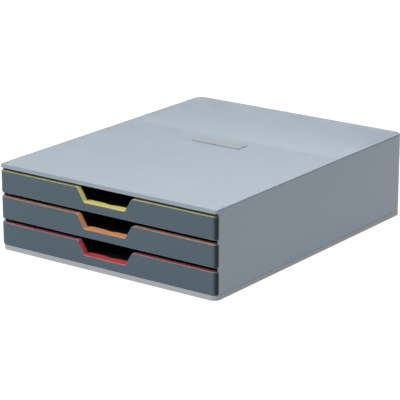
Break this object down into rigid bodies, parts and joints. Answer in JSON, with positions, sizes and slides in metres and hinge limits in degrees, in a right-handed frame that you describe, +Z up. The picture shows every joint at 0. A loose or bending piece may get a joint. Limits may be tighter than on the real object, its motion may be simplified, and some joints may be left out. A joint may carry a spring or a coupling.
{
  "type": "desktop file drawer box",
  "caption": "Low desktop drawer box for A4 and C4 papers: grey hood on a base pan, drawers with finger notches and a coloured strip along each front's top edge.",
  "frame": {"origin": "on the desk under the middle of the box, at the foot of its bounding box", "axes": "+X to the right across the width, +Y to the rear along the depth, +Z up; the drawer fronts face -Y"},
  "size_m": [0.28, 0.356, 0.0956],
  "materials": {
    "hood_grey": "fine satin moulded plastic, light blue grey",
    "base_grey": "fine satin moulded plastic, warm light grey",
    "badge_grey": "satin, bare",
    "inner_grey": "satin moulded plastic, very dark grey",
    "front_slate": "fine satin moulded plastic, slate",
    "strip_red": "satin moulded plastic, red",
    "strip_orange": "satin moulded plastic, orange",
    "strip_yellow": "satin moulded plastic, yellow",
    "foot_rubber": "matte rubber, near black",
    "screw_steel": "zinc-plated steel"
  },
  "bodies": {
    "housing": {"housing_hood": "hood_grey", "base_pan": "base_grey", "badge_plate": "badge_grey", "runner_frame_left": "inner_grey", "runner_frame_right": "inner_grey", "foot_front_left": "foot_rubber", "foot_front_right": "foot_rubber", "foot_rear_left": "foot_rubber", "foot_rear_right": "foot_rubber", "base_screw_front_left": "screw_steel", "base_screw_front_right": "screw_steel", "base_screw_rear_left": "screw_steel", "base_screw_rear_right": "screw_steel"},
    "bottom_drawer": {"drawer_tray_bottom": "inner_grey", "drawer_front_bottom": "front_slate", "colour_strip_bottom": "strip_red"},
    "middle_drawer": {"drawer_tray_middle": "inner_grey", "drawer_front_middle": "front_slate", "colour_strip_middle": "strip_orange"},
    "top_drawer": {"drawer_tray_top": "inner_grey", "drawer_front_top": "front_slate", "colour_strip_top": "strip_yellow"}
  },
  "joints": [
    {"name": "bottom_drawer_slide", "type": "slide", "parent": "housing", "child": "bottom_drawer", "axis": [0, -1, 0], "range_m": [0, 0.24]},
    {"name": "middle_drawer_slide", "type": "slide", "parent": "housing", "child": "middle_drawer", "axis": [0, -1, 0], "range_m": [0, 0.24]},
    {"name": "top_drawer_slide", "type": "slide", "parent": "housing", "child": "top_drawer", "axis": [0, -1, 0], "range_m": [0, 0.24]}
  ]
}
